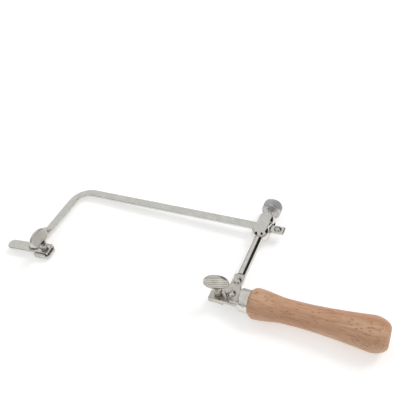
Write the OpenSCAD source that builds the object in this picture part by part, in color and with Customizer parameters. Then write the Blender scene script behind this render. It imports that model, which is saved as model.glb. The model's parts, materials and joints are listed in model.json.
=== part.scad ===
// Adjustable jeweler's saw frame: a bent flat bar that slides through a head on
// a round post, two screw clamps for the blade, and a turned wooden handle.
// +X runs along the blade from the front clamp to the handle, +Y from the blade
// to the back bar, +Z is the side that the thumb screws stand on.
// The origin is on the blade line, where the blade leaves the front clamp block.

/* [Blade opening] */
// Free blade length between the two clamps
opening = 117; // [110:1:122]
// Throat depth, blade line to the inner edge of the back bar
throat = 55; // [48:1:65]

/* [Back bar] */
// Width of the flat bar stock
bar_w = 6; // [5:0.5:7]
// Thickness of the flat bar stock and of the two jaw plates
stock_t = 2.2; // [2:0.1:2.6]
// Inner radius of the bend between bar and front leg
bend_r = 8.5; // [6:0.5:12]
// Centre line of the front leg, ahead of the origin
leg_x = 13.1; // [12:0.1:15]
// Bar length that stands out behind the head centre
bar_tail = 14; // [12:0.5:20]

/* [Jaws] */
// Width of the front jaw strip with its finger tab
strip_w = 7.5; // [7:0.1:8.5]
// Far end of the finger tab, ahead of the origin
strip_reach = 34; // [28:1:38]
// Droop of the finger tab away from the back bar, degrees
strip_tilt = 5; // [0:1:6]
// Width of the rear jaw plate
plate_w = 9; // [8:0.5:10]
// Front thumb screw axis, ahead of the origin
front_screw_x = 5; // [4.5:0.1:5.5]
// Rear thumb screw axis, behind the edge of the rear jaw plate
rear_screw_x = 4.9; // [4.5:0.1:6.2]
// Distance from the edge of the rear jaw plate to the post axis
post_x = 13; // [12.8:0.1:14]

/* [Splice plates and screws] */
// Thickness of the two splice plates
splice_t = 1.8; // [1.5:0.1:2.5]
// Width of the stem of a splice plate
splice_w = 6.6; // [6:0.1:7]
// Height of the front leg screw above the blade line
front_upper_y = 11.9; // [10.6:0.1:12.4]
// Height of the post screw above the blade line
rear_upper_y = 10.9; // [10.2:0.1:12]
// Height of the two lower splice screws above the blade line
lower_screw_y = 1.1; // [0.8:0.1:1.4]
// Head diameter of the splice screws
screw_head_d = 5.6; // [5:0.1:6.4]

/* [Thumb screws] */
// Width of the ribbed oval wing
wing_w = 15.2; // [14:0.2:18]
// Height of the oval wing along the screw
wing_h = 11.6; // [11:0.2:14]
// Thickness of the wing
wing_t = 2.2; // [1.8:0.1:3]
// Height of the wing centre above the blade plane
wing_z = 12.6; // [12:0.1:14]
// Angle at which the front wing is parked
front_wing_angle = 85; // [0:5:180]
// Angle at which the rear wing is parked
rear_wing_angle = 14; // [0:2:180]

/* [Post and head] */
// Diameter of the round post
post_d = 5.8; // [5.4:0.1:6.4]
// Diameter of the two lobes of the head
lobe_d = 12.4; // [11.5:0.1:13]
// Diameter of the waist between the lobes
waist_d = 10.4; // [9.5:0.1:11]
// Distance between the lobe centres
lobe_pitch = 10.4; // [9.6:0.1:11]
// Thickness of the head across its two milled flats
head_t = 9.6; // [9:0.1:10.2]

/* [Tension knob] */
// Diameter of the knurled knob
knob_d = 12.8; // [11:0.1:14]
// Thickness of the knurled knob
knob_h = 6.8; // [5:0.1:8]
// Gap between the head and the knob's underside boss
knob_lift = 2.1; // [1:0.1:3]

/* [Handle] */
// Length of the visible wooden grip
handle_l = 76; // [70:1:90]
// Diameter of the swelling behind the ferrule
nose_d = 18; // [16:0.1:19]
// Diameter of the waist
grip_d = 14.1; // [12.5:0.1:15]
// Largest diameter, near the butt
butt_d = 19.7; // [18:0.1:22]
// Diameter of the flat on the butt
flat_d = 9; // [6:0.5:10]
// Diameter of the metal ferrule
ferrule_d = 14; // [13.4:0.1:15]
// Length of the metal ferrule
ferrule_l = 6.3; // [6:0.1:8]
// Offset of the grip axis towards the back bar
handle_y = 0.5; // [0:0.1:1]

/* [Hidden] */

steel = "Gainsboro";
dark_steel = "DarkGray";
fine = 96;                             // facets of a round face
mid_z = stock_t / 2;                   // middle plane of bar, post and handle
slack = 0.1;                           // gap between flat faces that slide
fit = 0.05;                            // radial clearance of a running fit

bar_end = opening + post_x + bar_tail;
bend_cx = -leg_x + bar_w / 2 + bend_r; // centre of the bend
bend_cy = throat - bend_r;
leg_end = strip_w / 2 + 1.5;           // lower end of the leg

thumb_r = 1.95;                        // M4 shank of the thumb screws
thumb_tip = -3;                        // lower end of the thumb screws
neck_r = 2.3;                          // thumb screw neck where it meets the jaw
neck_top_r = 3.2;                      // the same neck under the wing
neck_z = stock_t + slack;
wing_overlap = 1.2;                    // how far the neck runs into the wing

small_r = 1.45;                        // M3 shank of the splice and stop screws
small_hole = small_r + fit;
dome_h = 1.6;                          // height of a domed screw head
stop_head_d = 5;
stop_x = bar_end - 4.4;                // stop screw near the end of the bar
splice_z = stock_t;                    // underside of the splice plates
splice_top = 16;                       // upper end of the splice plates

block_l = 11;                          // front clamp block
block_w = 10.4;
block_t = 2.05;
block_gap = 0.15;                      // gap between block and strip, screw tight
lip_t = 1.2;                           // side lips that stop the block turning
lip_h = 1.5;
block_cut = 2;                         // corner chamfers
block_back = 1.2;                      // strip end to block end
strip_front = strip_reach - front_screw_x; // tab end to thumb screw
strip_rear = front_screw_x - block_back;   // thumb screw to strip end
rear_block_l = 9;
rear_block_w = 8.6;
rear_block_t = 1.5;

head_x = opening + post_x;
head_y = throat + bar_w / 2 + 0.1;
window_y0 = throat - slack;
shoe_t = 1.3;
shoe_l = 7;
shoe_y = throat + bar_w + slack;       // underside of the pressure shoe
shoe_travel = 0.7;                     // one turn of the M4 knob
window_y1 = shoe_y + shoe_t + shoe_travel + 0.15;
window_t = stock_t + 0.4;
lobe_low = head_y - lobe_pitch / 2;
lobe_high = head_y + lobe_pitch / 2;
head_top = lobe_high + lobe_d / 2;
face_w = sqrt(lobe_d * lobe_d - head_t * head_t) - 0.3; // width of the flat between the lobes
post_top = window_y0 - 1;              // upper end of the post inside the head
post_flat = splice_top + 0.3;          // where the round post turns flat
knob_y = head_top + knob_lift + 0.8;
stud_r = 1.95;
knob_boss_r = 3.4;

ferrule_x = opening + post_x + 5.2;    // front face of the ferrule
ferrule_wall = 1;
grip_x = ferrule_x + ferrule_l;        // front of the wooden grip
nose_r = ferrule_d / 2 - ferrule_wall - fit;
nose_l = 3.6;                          // rounding at the front of the grip
nose_drop = 1.9;
waist_u = 22;                          // start of the waist behind the ferrule
waist_l = 8;                           // straight part of the waist
butt_l = 9;                            // rounding at the butt
tang_w = 4.4;
tang_l = 44;
plate_end = ferrule_x - 0.2;           // shoulder of the rear jaw plate
pin_r = 0.7;
pin_x = ferrule_x + 4.1;
pin_angle = 28;                        // pin position round the ferrule
pin_l = 3.4;

// Round bar along +Y from y0 to y1, centred on the middle plane
module y_rod(r, y0, y1, x = 0) {
    translate([x, y0, mid_z]) rotate([-90, 0, 0]) cylinder(r = r, h = y1 - y0, $fn = fine);
}

// Vertical hole or shank from z0 to z1
module z_rod(r, z0, z1, x, y) {
    translate([x, y, z0]) cylinder(r = r, h = z1 - z0, $fn = fine);
}

// ---------------------------------------------------------------- front frame
module frame_bar() {
    color(steel) difference() {
        union() {
            translate([bend_cx, throat, 0]) cube([bar_end - bend_cx, bar_w, stock_t]);
            translate([-leg_x - bar_w / 2, leg_end, 0]) cube([bar_w, bend_cy - leg_end, stock_t]);
            translate([bend_cx, bend_cy, 0]) intersection() {
                difference() {
                    cylinder(r = bend_r + bar_w, h = stock_t, $fn = fine);
                    translate([0, 0, -1]) cylinder(r = bend_r, h = stock_t + 2, $fn = fine);
                }
                translate([-30, 0, 0]) cube([30, 30, stock_t]);
            }
        }
        z_rod(small_hole, -1, stock_t + 1, -leg_x, front_upper_y);
        z_rod(small_hole, -1, stock_t + 1, stop_x, throat + bar_w / 2);
    }
}

// Places a part of the front jaw, which droops about the thumb screw
module on_strip() {
    translate([-front_screw_x, 0, 0]) rotate([0, 0, strip_tilt]) children();
}

module front_jaw_strip() {
    color(steel) difference() {
        on_strip() union() {
            translate([-strip_front + strip_w / 2, -strip_w / 2, 0])
                cube([strip_front - strip_w / 2 + strip_rear, strip_w, stock_t]);
            translate([-strip_front + strip_w / 2, 0, 0])
                cylinder(d = strip_w, h = stock_t, $fn = fine);
        }
        z_rod(thumb_r + fit, -1, stock_t + 1, -front_screw_x, 0);
        z_rod(small_hole, -1, stock_t + 1, -leg_x, lower_screw_y);
    }
}

// Splice plate about its stem's centre line, cut back at the lower right corner
// for the neck of a thumb screw; foot_y is its lower edge
module splice_outline(foot_x, foot_y) {
    half = splice_w / 2;
    corner = 1.2;
    union() {
        translate([-half, 8]) square([splice_w, splice_top - 8 - corner]);
        translate([-half + corner, splice_top - 8]) square([splice_w - 2 * corner, 8]);
        for (s = [-1, 1]) translate([s * (half - corner), splice_top - corner])
            circle(r = corner, $fn = fine);
        polygon([
            [-half, 8.5], [-foot_x, 3.4], [-foot_x, foot_y],
            [-0.4, foot_y], [4.6, 1.9], [5.1, 3.6], [half, 8.5],
        ]);
    }
}

module splice_plate(x, mirrored, foot_x, foot_y, upper_y) {
    color(steel) difference() {
        translate([x, 0, splice_z]) mirror([mirrored, 0, 0])
            linear_extrude(splice_t) splice_outline(foot_x, foot_y);
        for (y = [upper_y, lower_screw_y])
            z_rod(small_hole, splice_z - 1, splice_z + splice_t + 1, x, y);
    }
}

module front_splice_plate() { splice_plate(-leg_x, 0, 2.9, -2.9, front_upper_y); }
module rear_splice_plate() { splice_plate(head_x, 1, 5, -4.2, rear_upper_y); }

// Domed slotted screw: head on top of z, shank down to z_tip
module dome_screw(x, y, z, z_tip, head_d) {
    r = head_d / 2;
    ball = (r * r + dome_h * dome_h) / (2 * dome_h);
    reach = asin(r / ball);
    color(dark_steel) difference() {
        union() {
            translate([x, y, z]) rotate_extrude($fn = fine) polygon(concat(
                [[0, 0], [r, 0]],
                [for (i = [1:8]) ball * [sin(reach * (1 - i / 8)), cos(reach * (1 - i / 8))]
                    - [0, ball - dome_h]]
            ));
            z_rod(small_r, z_tip, z + 0.2, x, y);
        }
        translate([x - 0.4, y - r - 1, z + dome_h - 0.7]) cube([0.8, 2 * r + 2, 1]);
    }
}

module front_leg_screw() {
    dome_screw(-leg_x, front_upper_y, splice_z + splice_t, 0, screw_head_d);
}
module front_strip_screw() {
    dome_screw(-leg_x, lower_screw_y, splice_z + splice_t, 0, screw_head_d);
}
module rear_post_screw() {
    dome_screw(head_x, rear_upper_y, splice_z + splice_t, 0, screw_head_d);
}
module rear_plate_screw() {
    dome_screw(head_x, lower_screw_y, splice_z + splice_t, 0, screw_head_d);
}
module bar_stop_screw() {
    dome_screw(stop_x, throat + bar_w / 2, stock_t, 0, stop_head_d);
}

// ---------------------------------------------------------------- blade clamps
module front_clamp_block() {
    x1 = front_screw_x;
    x0 = x1 - block_l;
    y1 = block_w / 2;
    color(steel) difference() {
        on_strip() union() {
            translate([0, 0, -block_gap - block_t]) linear_extrude(block_t) polygon([
                [x0, -y1], [x1 - block_cut, -y1], [x1, -y1 + block_cut],
                [x1, y1 - block_cut], [x1 - block_cut, y1], [x0, y1],
            ]);
            for (s = [-1, 1])
                translate([x0, s * (y1 - lip_t / 2) - lip_t / 2, -block_gap - 0.1])
                    cube([block_l - block_cut, lip_t, lip_h + block_gap + 0.1]);
        }
        z_rod(thumb_r + fit, -5, 1, -front_screw_x, 0);
    }
}

module rear_clamp_block() {
    color(steel) difference() {
        union() {
            translate([opening, -rear_block_w / 2, -block_gap - rear_block_t])
                cube([rear_block_l, rear_block_w, rear_block_t]);
            translate([opening + rear_block_l - 1.2, -rear_block_w / 2, -block_gap - rear_block_t - 0.6])
                cube([1.2, rear_block_w, rear_block_t]);
        }
        z_rod(thumb_r + fit, -5, 1, opening + rear_screw_x, 0);
    }
}

// Thumb screw with an oval wing, seated on the jaw at (x, 0)
module thumb_screw(x, angle) {
    color(dark_steel) translate([x, 0, 0]) rotate([0, 0, angle]) union() {
        z_rod(thumb_r, thumb_tip, neck_z + 1, 0, 0);
        translate([0, 0, neck_z])
            cylinder(r1 = neck_r, r2 = neck_top_r, h = wing_z - wing_h / 2 + wing_overlap - neck_z, $fn = fine);
        translate([0, wing_t / 2, wing_z]) rotate([90, 0, 0]) linear_extrude(wing_t)
            polygon([for (i = [0:47]) [wing_w / 2 * cos(i * 7.5), wing_h / 2 * sin(i * 7.5)]]);
    }
}

module front_thumb_screw() { thumb_screw(-front_screw_x, front_wing_angle); }
module rear_thumb_screw() { thumb_screw(opening + rear_screw_x, rear_wing_angle); }

// ---------------------------------------------------------------- post and head
module post() {
    color(steel) difference() {
        union() {
            y_rod(post_d / 2, post_flat, post_top, head_x);
            translate([head_x - post_d / 2, plate_w / 2 + 0.3, 0])
                cube([post_d, post_flat - plate_w / 2, stock_t]);
        }
        z_rod(small_hole, -1, stock_t + 1, head_x, rear_upper_y);
    }
}

module tension_head() {
    color(steel) difference() {
        intersection() {
            union() {
                for (y = [lobe_low, lobe_high])
                    translate([head_x, y, mid_z]) rotate([-90, 0, 0]) sphere(d = lobe_d, $fn = fine);
                y_rod(waist_d / 2, lobe_low, lobe_high, head_x);
                translate([head_x - face_w / 2, lobe_low, mid_z - head_t / 2])
                    cube([face_w, lobe_pitch, head_t]);
            }
            translate([head_x - lobe_d, lobe_low - lobe_d, mid_z - head_t / 2])
                cube([2 * lobe_d, lobe_pitch + 2 * lobe_d, head_t]);
        }
        translate([head_x - lobe_d, window_y0, mid_z - window_t / 2])
            cube([2 * lobe_d, window_y1 - window_y0, window_t]);
        y_rod(post_d / 2 + fit, lobe_low - lobe_d, post_top + 0.2, head_x);
        y_rod(stud_r + fit, window_y1 - 1, head_top + 1, head_x);
    }
}

module rear_jaw_plate() {
    color(steel) difference() {
        union() {
            translate([opening, -plate_w / 2, 0]) cube([plate_end - opening, plate_w, stock_t]);
            translate([plate_end - 1, handle_y - tang_w / 2, 0]) cube([tang_l, tang_w, stock_t]);
        }
        z_rod(thumb_r + fit, -1, stock_t + 1, opening + rear_screw_x, 0);
        z_rod(small_hole, -1, stock_t + 1, head_x, lower_screw_y);
    }
}

// ---------------------------------------------------------------- tension knob
module pressure_shoe() {
    color("DarkKhaki") translate([head_x - shoe_l / 2, shoe_y, slack])
        cube([shoe_l, shoe_t, stock_t - 2 * slack]);
}

module tension_stud() {
    color(dark_steel) y_rod(stud_r, shoe_y + shoe_t, knob_y + knob_h - 2, head_x);
}

module tension_knob() {
    bevel = 0.6;
    r = knob_d / 2;
    color(dark_steel) difference() {
        translate([head_x, knob_y, mid_z]) rotate([-90, 0, 0]) rotate_extrude($fn = fine) polygon([
            [0, -0.8], [knob_boss_r, -0.8], [knob_boss_r, 0], [r - bevel, 0], [r, bevel],
            [r, knob_h - bevel], [r - bevel, knob_h], [0, knob_h],
        ]);
        y_rod(stud_r + 0.02, knob_y - 1, knob_y + knob_h - 1.9, head_x);
    }
}

// ---------------------------------------------------------------- handle
// Radius of the grip at a distance u behind its front edge
function ease(t) = t * t * (3 - 2 * t);
function grip_r(u) =
    u < nose_l ? nose_d / 2 - nose_drop * pow(1 - u / nose_l, 2)
    : u < waist_u ? nose_d / 2 + (grip_d - nose_d) / 2 * ease((u - nose_l) / (waist_u - nose_l))
    : u < handle_l - butt_l
        ? grip_d / 2 + (butt_d - grip_d) / 2
            * pow(max(0, u - waist_u - waist_l) / (handle_l - butt_l - waist_u - waist_l), 1.6)
    : flat_d / 2 + (butt_d - flat_d) / 2
        * sqrt(max(0, 1 - pow((u - handle_l + butt_l) / butt_l, 2)));

module along_handle() {
    translate([0, handle_y, mid_z]) rotate([0, 90, 0]) children();
}

// Radial hole or pin in the ferrule
module pin_rod(r, l) {
    translate([pin_x, handle_y, mid_z]) rotate([90 - pin_angle, 0, 0])
        translate([0, 0, ferrule_d / 2 - l]) cylinder(r = r, h = l, $fn = fine);
}

module handle() {
    nose_x = ferrule_x + ferrule_wall + slack;
    steps = 38;
    color("BurlyWood") difference() {
        along_handle() rotate_extrude($fn = fine) polygon(concat(
            [[0, nose_x], [nose_r, nose_x], [nose_r, grip_x + slack]],
            [for (i = [0:steps]) [grip_r(handle_l * i / steps), grip_x + slack + handle_l * i / steps]],
            [[0, grip_x + slack + handle_l]]
        ));
        translate([nose_x - 1, handle_y - tang_w / 2 - fit, -fit])
            cube([plate_end - 1 + tang_l - nose_x + 1.5, tang_w + 2 * fit, stock_t + 2 * fit]);
        pin_rod(pin_r + fit, pin_l + 0.3);
    }
}

module ferrule() {
    r = ferrule_d / 2;
    round_r = 1.4;
    color(steel) difference() {
        along_handle() rotate_extrude($fn = fine) polygon(concat(
            [[0, ferrule_x]],
            [for (a = [0:15:90]) [r - round_r + round_r * sin(a), ferrule_x + round_r - round_r * cos(a)]],
            [[r, grip_x], [r - ferrule_wall, grip_x], [r - ferrule_wall, ferrule_x + ferrule_wall],
             [0, ferrule_x + ferrule_wall]]
        ));
        translate([ferrule_x - 1, handle_y - tang_w / 2 - fit, -fit])
            cube([ferrule_wall + 2, tang_w + 2 * fit, stock_t + 2 * fit]);
        pin_rod(pin_r + fit, pin_l);
    }
}

module ferrule_pin() {
    color(dark_steel) pin_rod(pin_r, pin_l);
}

frame_bar();
front_jaw_strip();
front_splice_plate();
front_leg_screw();
front_strip_screw();
bar_stop_screw();
front_clamp_block();
front_thumb_screw();
tension_head();
post();
rear_splice_plate();
rear_post_screw();
rear_plate_screw();
rear_jaw_plate();
rear_clamp_block();
rear_thumb_screw();
tension_knob();
tension_stud();
pressure_shoe();
ferrule();
handle();
ferrule_pin();
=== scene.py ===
import json
import math
import bmesh
import bpy
from mathutils import Matrix, Vector


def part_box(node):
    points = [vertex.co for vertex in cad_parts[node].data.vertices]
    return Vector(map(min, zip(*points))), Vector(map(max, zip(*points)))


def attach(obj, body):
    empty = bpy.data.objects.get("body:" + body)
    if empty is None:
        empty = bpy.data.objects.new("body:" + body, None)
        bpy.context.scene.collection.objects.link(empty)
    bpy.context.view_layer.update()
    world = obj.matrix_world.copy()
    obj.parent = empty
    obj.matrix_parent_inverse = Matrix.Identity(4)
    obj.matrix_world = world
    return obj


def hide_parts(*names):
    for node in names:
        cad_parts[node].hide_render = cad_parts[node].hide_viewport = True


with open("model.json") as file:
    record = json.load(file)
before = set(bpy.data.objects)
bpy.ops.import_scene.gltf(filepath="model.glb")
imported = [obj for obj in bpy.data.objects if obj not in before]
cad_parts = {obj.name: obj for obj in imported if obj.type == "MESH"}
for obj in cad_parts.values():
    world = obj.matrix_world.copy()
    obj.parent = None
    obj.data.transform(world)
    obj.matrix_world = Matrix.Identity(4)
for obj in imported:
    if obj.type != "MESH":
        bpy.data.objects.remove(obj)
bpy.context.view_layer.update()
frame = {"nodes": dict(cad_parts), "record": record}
scene = bpy.context.scene
nodes = frame["nodes"]
bodies = frame["record"]["behaviour"]["bodies"]
MM = 0.001
TAU = 2 * math.pi

# Thumb screw, mm: the wing is an ellipse in XZ, its centre above the jaw
WING_RX = 15.2 / 2
WING_RZ = 11.6 / 2
WING_HALF_T = 2.2 / 2
WING_Z = 12.6
RIB_PITCH = 1.75
FRONT_WING_TURN = 85
REAR_WING_TURN = 14
# M4 thread on both thumb screws and the stud, mm
THREAD_R = 1.94
THREAD_DEPTH = 0.27
THREAD_PITCH = 0.7
# Turned wood outside the ferrule, mm
WOOD_LENGTH = 76.0
BUTT_LENGTH = 9


# ------------------------------------------------------------------ camera
def camera():
    """Above the butt of the handle and in front of it, looking down towards the bar."""
    data = bpy.data.cameras.new("camera")
    data.sensor_width = 36.0
    data.lens = 44.85
    data.clip_start, data.clip_end = 0.01, 20
    look = Vector((-0.3731, 0.628, -0.683))
    side = look.cross(Vector((-0.1757, 0.675, 0.7166))).normalized()
    up = side.cross(look).normalized()
    eye = bpy.data.objects.new("camera", data)
    scene.collection.objects.link(eye)
    stand = Matrix((side, up, -look.normalized())).transposed().to_4x4()
    stand.translation = Vector((219.84, -157.4, 243.48)) * MM
    eye.matrix_world = stand
    scene.camera = eye


camera()


# ------------------------------------------------------------------ node graphs
class Graph:
    """A node tree with short calls for the nodes used here."""

    def __init__(self, tree, coordinate):
        self.tree = tree
        self.where = self.add("ShaderNodeTexCoord").outputs[coordinate]

    def add(self, kind, **props):
        node = self.tree.nodes.new(kind)
        for key, value in props.items():
            setattr(node, key, value)
        return node

    def feed(self, socket, value):
        """Link a socket to another one, or set its number or colour."""
        if isinstance(value, tuple):
            socket.default_value = (*value, 1)
        elif isinstance(value, (int, float)):
            socket.default_value = value
        else:
            self.tree.links.new(value, socket)

    def scaled(self, scale):
        node = self.add("ShaderNodeMapping")
        node.inputs["Scale"].default_value = scale
        self.feed(node.inputs["Vector"], self.where)
        return node.outputs[0]

    def noise(self, scale, detail, rough=0.5, distort=0.0):
        node = self.add("ShaderNodeTexNoise")
        self.feed(node.inputs["Vector"], self.scaled(scale))
        self.feed(node.inputs["Scale"], 1.0)
        self.feed(node.inputs["Detail"], detail)
        self.feed(node.inputs["Roughness"], rough)
        self.feed(node.inputs["Distortion"], distort)
        return node.outputs["Fac"]

    def cells(self, scale):
        node = self.add("ShaderNodeTexVoronoi")
        self.feed(node.inputs["Vector"], self.scaled(scale))
        self.feed(node.inputs["Scale"], 1.0)
        return node.outputs["Distance"]

    def ramp(self, factor, stops):
        node = self.add("ShaderNodeValToRGB")
        elements = node.color_ramp.elements
        while len(elements) < len(stops):
            elements.new(0.5)
        for element, (position, colour) in zip(elements, stops):
            element.position = position
            element.color = (*colour, 1)
        self.feed(node.inputs[0], factor)
        return node.outputs[0]

    def falling(self, factor, start, end):
        """White below start, black above end."""
        return self.ramp(factor, [(start, (1, 1, 1)), (end, (0, 0, 0))])

    def rising(self, factor, start, end):
        """Black below start, white above end."""
        return self.ramp(factor, [(start, (0, 0, 0)), (end, (1, 1, 1))])

    def remap(self, factor, *from_to):
        """Map the first two numbers to the last two."""
        node = self.add("ShaderNodeMapRange")
        for socket, value in zip(list(node.inputs)[1:5], from_to):
            socket.default_value = value
        self.feed(node.inputs[0], factor)
        return node.outputs[0]

    def mix(self, below, above, factor):
        node = self.add("ShaderNodeMix", data_type="RGBA")
        self.feed(node.inputs[0], factor)
        self.feed(node.inputs[6], below)
        self.feed(node.inputs[7], above)
        return node.outputs[2]

    def math(self, operation, a, b):
        node = self.add("ShaderNodeMath", operation=operation)
        self.feed(node.inputs[0], a)
        self.feed(node.inputs[1], b)
        return node.outputs[0]

    def times(self, a, b):
        return self.math("MULTIPLY", a, b)

    def plus(self, a, b):
        return self.math("ADD", a, b)


class Material(Graph):
    """A graph that ends in a Principled BSDF."""

    def __init__(self, name):
        self.made = bpy.data.materials.new(name)
        self.made.use_nodes = True
        super().__init__(self.made.node_tree, "Object")
        self.shader = self.tree.nodes["Principled BSDF"]

    def bump(self, height, strength, distance):
        node = self.add("ShaderNodeBump")
        self.feed(node.inputs["Strength"], strength)
        self.feed(node.inputs["Distance"], distance)
        self.feed(node.inputs["Height"], height)
        self.feed(self.shader.inputs["Normal"], node.outputs[0])

    def out(self, **sockets):
        for name, value in sockets.items():
            self.feed(self.shader.inputs[name.replace("_", " ")], value)
        return self.made


# ------------------------------------------------------------------ materials
def metal(name, dark, light, smooth, dull, grain=900, bump=0.0, stains=0.0):
    """Plated metal: cloudy tone, uneven polish, fine rolling marks and a few stains."""
    g = Material(name)
    cloud = g.noise((260, 260, 260), 4, 0.55)
    fine = g.noise((1500, 1500, 1500), 2, 0.6)
    tone = g.ramp(cloud, [(0.32, dark), (0.68, light)])
    if stains:
        spot = g.falling(g.cells((420, 420, 420)), 0.05, 0.13)
        rare = g.rising(g.noise((150, 150, 150), 2), 0.56, 0.62)
        tone = g.mix(tone, (0.20, 0.16, 0.11), g.times(g.times(spot, rare), stains))
    uneven = g.plus(g.times(cloud, 0.6), g.times(fine, 0.4))
    rough = g.remap(uneven, 0.35, 0.65, smooth, dull)
    if bump:
        marks = g.noise((grain, 2600, 2600), 2)
        g.bump(g.plus(g.times(fine, 0.5), marks), bump, 0.00004)
    return g.out(Base_Color=tone, Metallic=1.0, Roughness=rough)


flat_nickel = metal("flat_nickel", (0.62, 0.61, 0.575), (0.71, 0.70, 0.665), 0.16, 0.28,
                    grain=160, bump=0.12, stains=0.3)
stamped_nickel = metal("stamped_nickel", (0.50, 0.48, 0.43), (0.69, 0.67, 0.62), 0.20, 0.36,
                       grain=700, bump=0.3, stains=0.9)
round_nickel = metal("round_nickel", (0.66, 0.64, 0.60), (0.76, 0.745, 0.71), 0.07, 0.14,
                     bump=0.08, stains=0.25)
screw_nickel = metal("screw_nickel", (0.60, 0.575, 0.53), (0.76, 0.74, 0.70), 0.12, 0.20,
                     bump=0.02)
# painted shade: a dark metal laid in the wing's rib grooves, where shade falls
groove_painted_shade = metal("groove_painted_shade", (0.20, 0.17, 0.14), (0.34, 0.30, 0.26), 0.35, 0.5,
                      bump=0.3)
# painted dark reflection: the neck and the wing's foot are coloured darker, standing for the dark
# surroundings they reflect
neck_painted_reflection = metal("neck_painted_reflection", (0.34, 0.31, 0.27), (0.50, 0.47, 0.42), 0.14, 0.26,
                    bump=0.2)
wing_nickel = metal("wing_nickel", (0.56, 0.535, 0.495), (0.72, 0.70, 0.66), 0.26, 0.40,
                    bump=0.35)
knob_nickel = metal("knob_nickel", (0.55, 0.545, 0.54), (0.70, 0.695, 0.69), 0.32, 0.46,
                    bump=0.35)
shoe_brass = metal("shoe_brass", (0.62, 0.45, 0.20), (0.74, 0.56, 0.28), 0.28, 0.42,
                   grain=500, bump=0.2)


def beech():
    """Beech: long soft grain, short dark ray flecks, fine pores and a few redder streaks."""
    g = Material("beech_wood")
    grain = g.noise((26, 360, 360), 6, 0.66, 0.8)
    broad = g.noise((9, 70, 70), 3, 0.5, 0.4)
    base = g.ramp(grain, [(0.30, (0.470, 0.262, 0.155)), (0.50, (0.610, 0.378, 0.240)),
                          (0.72, (0.710, 0.475, 0.322))])
    streaks = g.ramp(broad, [(0.48, (0, 0, 0)), (0.76, (0.6, 0.6, 0.6))])
    base = g.mix(base, (0.50, 0.235, 0.130), streaks)
    pores = g.falling(g.noise((120, 1500, 1500), 2, 0.6), 0.34, 0.46)
    base = g.mix(base, (0.34, 0.165, 0.09), g.times(pores, 0.5))
    dashes = g.falling(g.cells((230, 780, 780)), 0.17, 0.27)
    patches = g.rising(g.noise((60, 180, 180), 2), 0.42, 0.52)
    flecks = g.times(dashes, patches)
    base = g.mix(base, (0.29, 0.115, 0.055), g.times(flecks, 0.72))
    lines = g.falling(g.cells((34, 230, 230)), 0.05, 0.12)
    base = g.mix(base, (0.27, 0.115, 0.055), g.times(lines, 0.45))
    hollows = g.plus(g.times(pores, 0.5), flecks)
    g.bump(g.math("SUBTRACT", grain, hollows), 0.22, 0.00012)
    rough = g.remap(grain, 0.3, 0.7, 0.46, 0.60)
    return g.out(Base_Color=base, Roughness=rough, Specular_IOR_Level=0.42,
                 Coat_Weight=0.10, Coat_Roughness=0.38)


beech_wood = beech()


# ------------------------------------------------------------------ carried-over CAD nodes
def shade_smooth(mesh, sharp_angle=None):
    """Smooth faces, with edges over sharp_angle degrees kept sharp."""
    for face in mesh.polygons:
        face.use_smooth = True
    if sharp_angle:
        mesh.set_sharp_from_angle(angle=math.radians(sharp_angle))


def finish_node(name, material, bevel):
    """Material, joined corners and rounded edges for a CAD node; its own points stay."""
    obj = nodes[name]
    obj.data.materials.clear()
    obj.data.materials.append(material)
    with bpy.context.temp_override(active_object=obj, object=obj, selected_objects=[obj]):
        bpy.context.view_layer.objects.active = obj
        bpy.ops.mesh.customdata_custom_splitnormals_clear()
    shade_smooth(obj.data)
    weld = obj.modifiers.new("join", "WELD")
    weld.merge_threshold = 2e-6
    flats = obj.modifiers.new("flats", "DECIMATE")
    flats.decimate_type = "DISSOLVE"
    flats.angle_limit = math.radians(0.6)
    edges = obj.modifiers.new("edges", "BEVEL")
    edges.width = bevel * MM
    edges.segments = 3
    edges.limit_method = "ANGLE"
    edges.angle_limit = math.radians(32)
    edges.harden_normals = True
    edges.use_clamp_overlap = True
    edges.miter_outer = "MITER_ARC"


for name, material, bevel in (
    ("front_clamp_block", stamped_nickel, 0.22),
    ("rear_clamp_block", stamped_nickel, 0.2),
    ("tension_head", round_nickel, 0.22),
    ("post", round_nickel, 0.22),
    ("ferrule", round_nickel, 0.12),
    ("ferrule_pin", screw_nickel, 0.12),
    ("pressure_shoe", shoe_brass, 0.1),
):
    finish_node(name, material, bevel)

# the milled faces of the head are duller than its turned rim
head = nodes["tension_head"].data
head.materials.append(flat_nickel)
for face in head.polygons:
    if abs(face.normal.z) > 0.9999:
        face.material_index = 1


# ------------------------------------------------------------------ helpers for detailed pieces
def centre(name):
    low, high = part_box(name)
    return (low + high) / 2


def span(name, axis):
    """A node's lowest and highest point along x, y or z, in mm."""
    low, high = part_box(name)
    return getattr(low, axis) / MM, getattr(high, axis) / MM


def circle(rx, ry, z, count):
    """An ellipse about Z."""
    turns = [TAU * i / count for i in range(count)]
    return [(rx * math.cos(a), ry * math.sin(a), z) for a in turns]


def skin(loops):
    """Points and faces of a closed skin through loops that all have the same count."""
    n = len(loops[0])
    verts = [point for loop in loops for point in loop]
    last = (len(loops) - 1) * n
    faces = [[row + i, row + (i + 1) % n, row + n + (i + 1) % n, row + n + i]
             for row in range(0, last, n) for i in range(n)]
    faces.append(list(range(n))[::-1])
    faces.append([last + i for i in range(n)])
    return verts, faces


def joined(skins):
    """Several skins as one list of points and faces."""
    verts, faces = [], []
    for more_verts, more_faces in skins:
        base = len(verts)
        verts += more_verts
        faces += [[base + i for i in face] for face in more_faces]
    return verts, faces


def lathe(profile, count):
    """A turned form about Z for a list of (radius, height)."""
    return skin([circle(r, r, z, count) for r, z in profile])


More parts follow.
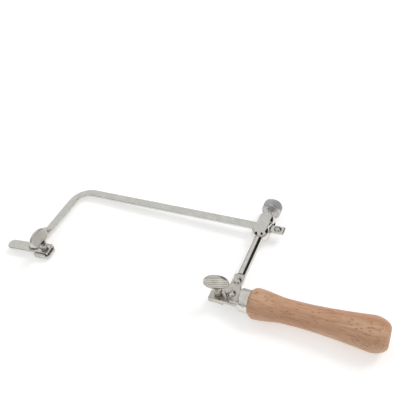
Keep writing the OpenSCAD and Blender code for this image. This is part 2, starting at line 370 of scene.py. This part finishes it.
def thread(z0, z1, count=48, rows_per_turn=8):
    """A rod about Z with a real helical thread that fades out at both ends."""
    loops = []
    rows = round((z1 - z0) / THREAD_PITCH * rows_per_turn)
    run_out = 0.6 * THREAD_PITCH
    for row in range(rows + 1):
        z = z0 + (z1 - z0) * row / rows
        fade = min(1, (z - z0) / run_out, (z1 - z) / run_out)
        loop = []
        for i in range(count):
            a = TAU * i / count
            saw = abs(((z / THREAD_PITCH - a / TAU) % 1) - 0.5) * 2
            groove = min(1, max(0, saw * 1.35 - 0.2))
            r = THREAD_R - THREAD_DEPTH * (groove * fade + 0.9 * (1 - fade))
            loop.append((r * math.cos(a), r * math.sin(a), z))
        loops.append(loop)
    return skin(loops)


def add_object(name, mesh):
    obj = bpy.data.objects.new(name, mesh)
    scene.collection.objects.link(obj)
    return obj


def piece(name, shape, material, sharp_angle=None, place=None):
    """A mesh object from points in mm and faces."""
    verts, faces = shape
    mesh = bpy.data.meshes.new(name)
    mesh.from_pydata([tuple(c * MM for c in v) for v in verts], [], faces)
    bm = bmesh.new()
    bm.from_mesh(mesh)
    bmesh.ops.remove_doubles(bm, verts=bm.verts, dist=1e-7)
    bmesh.ops.recalc_face_normals(bm, faces=bm.faces)
    bm.to_mesh(mesh)
    bm.free()
    if place is not None:
        mesh.transform(place)
    mesh.validate()
    shade_smooth(mesh, sharp_angle)
    mesh.materials.append(material)
    return add_object(name, mesh)


def stand_for(obj, node):
    """The piece rides on the node's body and hides the node."""
    body = next(name for name, members in bodies.items() if node in members)
    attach(obj, body)
    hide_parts(node)


# ------------------------------------------------------------------ thumb screws
def wing():
    """Oval wing with horizontal ribs inside a smooth rim, on both faces."""
    count, rows = 120, 62
    edge, rim_start, rib_end, blend = 0.91, 0.84, 0.86, 0.04

    def half_thickness(x, z):
        rho = min(1.0, math.hypot(x / WING_RX, z / WING_RZ))
        if rho > edge:
            return WING_HALF_T * math.sqrt(max(0.0, 1 - ((rho - edge) / (1 - edge)) ** 2))
        rim = min(1, max(0, (rho - rim_start) / blend))
        rib = 0.5 + 0.5 * math.cos(TAU * z / RIB_PITCH)
        fade = min(1, (rib_end - min(rho, rib_end)) / blend)
        low = WING_HALF_T - 0.36 + 0.31 * rib ** 0.42 * fade
        return low + (WING_HALF_T - low) * rim * rim * (3 - 2 * rim)

    def face(side):
        band = []
        for row in range(rows + 1):
            rho = max(0.004, math.sin(math.pi / 2 * row / rows))
            flat = circle(WING_RX * rho, WING_RZ * rho, 0, count)
            band.append([(x, side * half_thickness(x, z), WING_Z + z) for x, z, _ in flat])
        return band

    return skin(face(-1) + face(1)[::-1][1:])


def neck():
    """Round at the jaw, flattening into the wing."""
    count, rows = 56, 28
    foot_r, foot_z, height = 2.3, 2.3, 7.4
    loops = []
    for row in range(rows + 1):
        f = row / rows
        grow = min(1.0, f / 0.72)
        rx = foot_r + 0.95 * grow ** 1.3 - 1.5 * max(0, (f - 0.72) / 0.28) ** 2
        ry = foot_r + 0.55 * min(1, f / 0.5) - 2.2 * max(0, (f - 0.46) / 0.54) ** 1.25
        if f < 0.05:
            rx = ry = 2.15 + 3 * f
        loops.append(circle(rx, max(0.55, ry), foot_z + f * height, count))
    return skin(loops)


def thumb_screw(node, turn):
    """Ribbed wing, neck and threaded shank, with painted shade in the rib grooves and a painted
    dark reflection on the neck.
    """
    place = Matrix.Translation((centre(node).x, 0, 0)) @ Matrix.Rotation(math.radians(turn), 4, "Z")
    shape = joined([wing(), neck(), thread(-2.98, 2.4)])
    obj = piece(node + "_detail", shape, wing_nickel, 40, place)
    obj.data.materials.append(groove_painted_shade)
    obj.data.materials.append(neck_painted_reflection)
    back = place.inverted()
    for face in obj.data.polygons:
        at = back @ face.center / MM
        rho = math.hypot(at.x / WING_RX, (at.z - WING_Z) / WING_RZ)
        # faces in the rib grooves get the painted shade
        if rho < 0.85 and abs(at.y) < WING_HALF_T - 0.27:
            face.material_index = 1
        # the neck and the wing's foot get the painted dark reflection
        elif at.z < WING_Z - WING_RZ * 0.93 or (at.z < WING_Z - WING_RZ * 0.6 and rho < 0.8):
            face.material_index = 2
    stand_for(obj, node)


thumb_screw("front_thumb_screw", FRONT_WING_TURN)
thumb_screw("rear_thumb_screw", REAR_WING_TURN)


# ------------------------------------------------------------------ flat stock
def close_holes(bm, centres):
    """Close a plate's screw holes: the screws hide them, and its flat stays one face."""
    near = {v for v in bm.verts if any((v.co.xy - c.xy).length < 2.3 * MM for c in centres)}
    walls = [face for face in bm.faces if near.issuperset(face.verts)]
    bmesh.ops.delete(bm, geom=walls, context="FACES")
    rims = [edge for edge in bm.edges if edge.is_boundary]
    bmesh.ops.holes_fill(bm, edges=rims, sides=0)


def flat_stock(node, material, width, closed=False):
    """The CAD outline with its outer edges well rounded, and open holes left crisp."""
    mesh = nodes[node].data.copy()
    if "custom_normal" in mesh.attributes:
        mesh.attributes.remove(mesh.attributes["custom_normal"])
    bm = bmesh.new()
    bm.from_mesh(mesh)
    bmesh.ops.remove_doubles(bm, verts=bm.verts, dist=2e-6)
    screws = [centre(name) for name in nodes if name.endswith("_screw")]
    if closed:
        close_holes(bm, screws)
    bmesh.ops.dissolve_limit(bm, angle_limit=math.radians(0.6), verts=bm.verts, edges=bm.edges)
    weight = bm.edges.layers.float.new("bevel_weight_edge")
    for edge in bm.edges:
        middle = (edge.verts[0].co + edge.verts[1].co) / 2
        clear = all((middle.xy - c.xy).length > 2.6 * MM for c in screws)
        if edge.calc_face_angle(0) > math.radians(32) and clear:
            edge[weight] = 1
    bm.to_mesh(mesh)
    bm.free()
    mesh.materials.clear()
    mesh.materials.append(material)
    shade_smooth(mesh, 40)
    obj = add_object(node + "_detail", mesh)
    edges = obj.modifiers.new("edges", "BEVEL")
    edges.width = width * MM
    edges.segments = 4
    edges.limit_method = "WEIGHT"
    edges.use_clamp_overlap = False
    edges.harden_normals = True
    edges.miter_outer = "MITER_ARC"
    stand_for(obj, node)


flat_stock("frame_bar", flat_nickel, 0.75)
flat_stock("front_jaw_strip", flat_nickel, 0.6, closed=True)
flat_stock("front_splice_plate", stamped_nickel, 0.45)
flat_stock("rear_splice_plate", stamped_nickel, 0.45)
flat_stock("rear_jaw_plate", stamped_nickel, 0.4)


# ------------------------------------------------------------------ domed screws
def slot_cutter(turn, floor):
    """A box across the head, from floor mm upwards."""
    mesh = bpy.data.meshes.new("cut")
    height = 1.6
    bm = bmesh.new()
    bmesh.ops.create_cube(bm, size=1)
    bmesh.ops.scale(bm, vec=(0.85 * MM, 9 * MM, height * MM), verts=bm.verts)
    spin = Matrix.Rotation(math.radians(turn), 3, "Z")
    bmesh.ops.rotate(bm, cent=(0, 0, 0), matrix=spin, verts=bm.verts)
    bmesh.ops.translate(bm, vec=(0, 0, (floor + height / 2) * MM), verts=bm.verts)
    bm.to_mesh(mesh)
    bm.free()
    return add_object("cut", mesh)


def dome(node, turn):
    """A short shank and a domed head with a slot at turn degrees."""
    left, right = span(node, "x")
    head_r = (right - left) / 2
    top = span(node, "z")[1]
    head_h, rim_h, slot_depth, rows = 1.6, 0.14, 0.75, 24
    z0 = top - head_h
    ball_r = (head_r * head_r + head_h ** 2) / (2 * head_h)
    start = math.asin(min(1, head_r / ball_r))
    profile = [(1.4, 0.02), (1.4, z0), (head_r - 0.12, z0), (head_r - 0.03, z0 + 0.05),
               (head_r, z0 + rim_h)]
    for row in range(1, rows + 1):
        share = 1 - row / rows
        a = start * share
        z = top - ball_r + ball_r * math.cos(a) + rim_h * share
        profile.append((max(0.001, ball_r * math.sin(a)), min(z, top)))
    obj = piece(node + "_detail", lathe(profile, 64), screw_nickel)
    cutter = slot_cutter(turn, top - slot_depth)
    slot = obj.modifiers.new("slot", "BOOLEAN")
    slot.operation = "DIFFERENCE"
    slot.solver = "EXACT"
    slot.object = cutter
    edges = obj.modifiers.new("edges", "BEVEL")
    edges.width = 0.07 * MM
    edges.segments = 2
    edges.limit_method = "ANGLE"
    edges.angle_limit = math.radians(40)
    bpy.context.view_layer.update()
    done = obj.evaluated_get(bpy.context.evaluated_depsgraph_get())
    mesh = bpy.data.meshes.new_from_object(done)
    obj.modifiers.clear()
    bpy.data.objects.remove(cutter)
    at = centre(node)
    mesh.transform(Matrix.Translation((at.x, at.y, 0)))
    shade_smooth(mesh, 38)
    obj.data = mesh
    stand_for(obj, node)


dome("front_leg_screw", 20)
dome("front_strip_screw", 75)
dome("bar_stop_screw", 130)
dome("rear_post_screw", 62)
dome("rear_plate_screw", 150)


# ------------------------------------------------------------------ knob and its stud
def knob_shape():
    """Diamond knurl between two plain chamfers, with a boss below."""
    boss_h = 0.8
    y_low, y1 = span("tension_knob", "y")
    y0 = y_low + boss_h
    left, right = span("tension_knob", "x")
    r = (right - left) / 2
    count, teeth, chamfer, row_pitch, knurl_depth = 384, 48, 0.62, 0.8, 0.26

    def loop(radius, y, depth=0.0):
        points = []
        for i in range(count):
            a = TAU * i / count
            across = teeth * a / TAU
            along = y / row_pitch
            cut = 2 * min(abs((across + along) % 1 - 0.5), abs((across - along) % 1 - 0.5))
            here = radius - depth * max(0.0, 0.55 - cut) / 0.55
            points.append((here * math.cos(a), here * math.sin(a), y))
        return points

    loops = [loop(1.9, y0 - 0.79), loop(3.15, y0 - 0.79), loop(3.38, y0 - 0.62),
             loop(3.38, y0 + 0.22), loop(3.6, y0 + 0.3), loop(r - 1.35, y0 + 0.3),
             loop(r - 1.15, y0 + 0.02), loop(r - chamfer, y0 + 0.02),
             loop(r - chamfer * 0.5, y0 + chamfer * 0.36),
             loop(r - 0.1, y0 + chamfer * 0.86), loop(r - 0.02, y0 + chamfer)]
    rows = 30
    knurl_h = y1 - y0 - 2 * chamfer - 0.24
    for row in range(rows + 1):
        fade = min(1, 6 * row / rows, 6 * (1 - row / rows))
        loops.append(loop(r - 0.02, y0 + chamfer + 0.12 + knurl_h * row / rows, knurl_depth * fade))
    loops += [loop(r - 0.02, y1 - chamfer), loop(r - 0.1, y1 - chamfer * 0.84),
              loop(r - chamfer * 0.6, y1 - chamfer * 0.3), loop(r - chamfer - 0.1, y1 - 0.02),
              loop(r - 1.3, y1 - 0.01), loop(r - 1.6, y1 - 0.12),
              loop(2.2, y1 - 0.16), loop(0.6, y1 - 0.16), loop(0.05, y1 - 0.16)]
    return skin(loops)


def stud_shape():
    foot, tip = span("tension_stud", "y")
    return thread(foot + 0.01, tip - 0.01)


axis = centre("tension_knob")
knob_place = Matrix.Translation((axis.x, 0, axis.z)) @ Matrix.Rotation(math.radians(-90), 4, "X")
knob = piece("tension_knob_detail", knob_shape(), knob_nickel, 50, knob_place)
stand_for(knob, "tension_knob")
stud = piece("tension_stud_detail", stud_shape(), screw_nickel, 40, knob_place)
stand_for(stud, "tension_stud")


# ------------------------------------------------------------------ handle
def wood_radius(u):
    """Radius at u mm from the shoulder: bead, waist, swelling palm and round butt."""
    bead_r, bead_end, waist_end, swell_start, swell_h = 9, 3.6, 22, 30, 2.8
    waist_drop, end_r, butt_h = 1.95, 4.5, 5.35
    if u < bead_end:
        return bead_r - 1.9 * (1 - u / bead_end) ** 2
    if u < waist_end:
        t = (u - bead_end) / (waist_end - bead_end)
        return bead_r - waist_drop * t * t * (3 - 2 * t)
    if u < WOOD_LENGTH - BUTT_LENGTH:
        swell = max(0, u - swell_start) / (WOOD_LENGTH - BUTT_LENGTH - swell_start)
        return bead_r - waist_drop + swell_h * swell ** 1.6
    from_crown = (u - WOOD_LENGTH + BUTT_LENGTH) / BUTT_LENGTH
    return end_r + butt_h * math.sqrt(max(0, 1 - from_crown ** 2))


def handle():
    """One turned form: a nose inside the ferrule, and the wood outside it."""
    nose, end = span("handle", "x")
    shoulder = end - WOOD_LENGTH
    steps, butt_steps, butt_round = 150, 12, 0.08
    stations = [WOOD_LENGTH * step / steps for step in range(steps + 1)]
    for step in range(1, butt_steps + 1):
        a = math.pi / 2 * (step - 0.5) / butt_steps
        stations.append(WOOD_LENGTH - BUTT_LENGTH * butt_round * (1 - math.sin(a)))
    profile = [(0.05, nose), (5.6, nose), (5.93, nose + 0.3), (5.93, shoulder - 0.02),
               (6.7, shoulder)]
    profile += [(0.996 * wood_radius(u), shoulder + u) for u in sorted(stations)]
    profile += [(r, end) for r in (4.3, 3.0, 1.5, 0.05)]
    at = centre("handle")
    place = Matrix.Translation((0, at.y, at.z)) @ Matrix.Rotation(math.radians(90), 4, "Y")
    obj = piece("handle_detail", lathe(profile, 128), beech_wood, 60, place)
    stand_for(obj, "handle")


handle()


# ------------------------------------------------------------------ floor
def floor():
    """A pale sheet, tilted to the frame: the handle's front bead just touches it."""
    g = Material("floor_paint")
    grey = [(0.3, (0.62, 0.62, 0.62)), (0.7, (0.64, 0.64, 0.64))]
    paint = g.ramp(g.noise((30, 30, 30), 2), grey)
    g.out(Base_Color=paint, Emission_Color=paint, Emission_Strength=0.78,
          Roughness=0.9, Specular_IOR_Level=0.1)
    slope_x, slope_y, level = -0.02634, 0.0181, -0.00395
    half, middle_x, level_x = 3, 0.1, -0.005
    corners = []
    for across, along in ((-half, -half), (half, -half), (half, half), (-half, half)):
        x = across + middle_x
        corners.append((x, along, level + slope_x * (x - level_x) + slope_y * along))
    mesh = bpy.data.meshes.new("floor")
    mesh.from_pydata(corners, [], [(0, 1, 2, 3)])
    mesh.materials.append(g.made)
    obj = add_object("floor", mesh)


floor()


# ------------------------------------------------------------------ surroundings and light
def dark_cone(g, direction, axis, inner, outer):
    """1 inside a cone of inner degrees about axis, falling to 0 at its outer angle."""
    dot = g.add("ShaderNodeVectorMath", operation="DOT_PRODUCT")
    g.feed(dot.inputs[0], direction)
    dot.inputs[1].default_value = Vector(axis).normalized()
    return g.remap(dot.outputs["Value"], math.cos(math.radians(outer)),
                   math.cos(math.radians(inner)), 0.0, 1.0)


def surroundings():
    """A pale light tent, darker towards the horizon, with dark gaps that the metal reflects."""
    world = bpy.data.worlds.new("studio")
    scene.world = world
    world.use_nodes = True
    g = Graph(world.node_tree, "Generated")
    cones = (((0.36, 0.79, 0.49), 19, 22), ((0.64, 0.48, 0.60), 17, 21),
             ((0.66, 0.74, 0.14), 13, 17), ((0.90, 0.25, 0.36), 16, 22),
             ((0.40, -0.68, 0.61), 12, 18), ((-0.69, -0.61, 0.39), 14, 20))
    gaps = [dark_cone(g, g.where, *cone) for cone in cones]
    total = gaps[0]
    for gap in gaps[1:]:
        total = g.math("MAXIMUM", total, gap)
    height = g.add("ShaderNodeSeparateXYZ")
    g.feed(height.inputs[0], g.where)
    tent = g.ramp(height.outputs["Z"], ((0.0, (0.34, 0.33, 0.315)), (0.14, (0.40, 0.39, 0.375)),
                                        (0.30, (0.67, 0.665, 0.65)), (0.55, (0.80, 0.80, 0.79))))
    shade = g.mix(tent, (0.018, 0.017, 0.016), total)
    background = world.node_tree.nodes["Background"]
    g.feed(background.inputs["Color"], shade)
    g.feed(background.inputs["Strength"], 1.0)


def key_light():
    """A soft sun that casts the shadows but doesn't show in the metal."""
    sun = bpy.data.lights.new("key", "SUN")
    sun.energy = 1.25
    sun.angle = math.radians(25)
    obj = add_object("key", sun)
    obj.visible_glossy = False
    obj.rotation_mode = "QUATERNION"
    obj.rotation_quaternion = Vector((-0.45, -0.45, -0.77)).to_track_quat("-Z", "Y")


surroundings()
key_light()
scene.view_settings.view_transform = "Standard"
